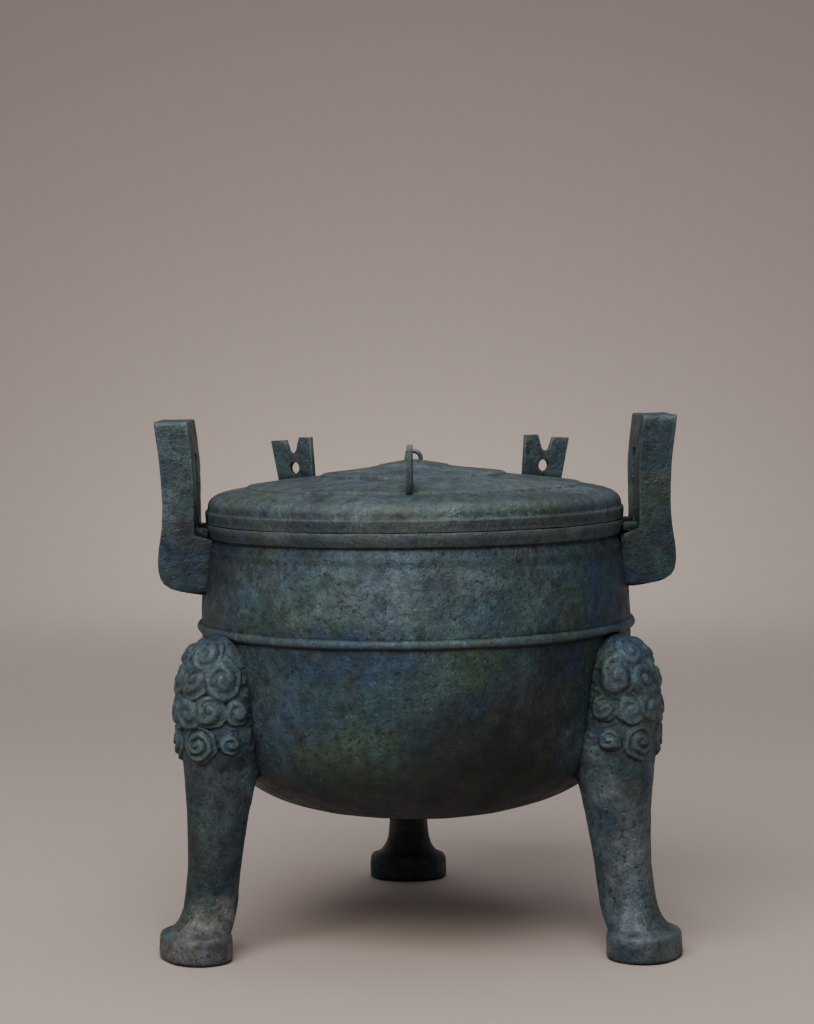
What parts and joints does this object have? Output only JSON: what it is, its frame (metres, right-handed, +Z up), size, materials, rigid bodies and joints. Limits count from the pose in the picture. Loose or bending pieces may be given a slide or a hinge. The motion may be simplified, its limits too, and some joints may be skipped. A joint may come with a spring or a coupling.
{
  "type": "lidded bronze ding tripod vessel",
  "caption": "Round lidded bronze tripod cooking vessel with upright slotted ears, masked cabriole legs on hooves, and a domed lid with pierced upright plates.",
  "frame": {"origin": "on the floor, under the middle of the whole object's box", "axes": "+Z up, -Y the front, between the two front legs; the ears stand at -X and +X"},
  "size_m": [0.515, 0.495, 0.5136],
  "materials": {
    "vessel_bronze": "dark blue-green patina, dull and finely pitted",
    "lid_bronze": "dark grey-green patina, dull and finely pitted"
  },
  "bodies": {
    "root": {"vessel": "vessel_bronze", "lid": "lid_bronze"}
  },
  "joints": []
}
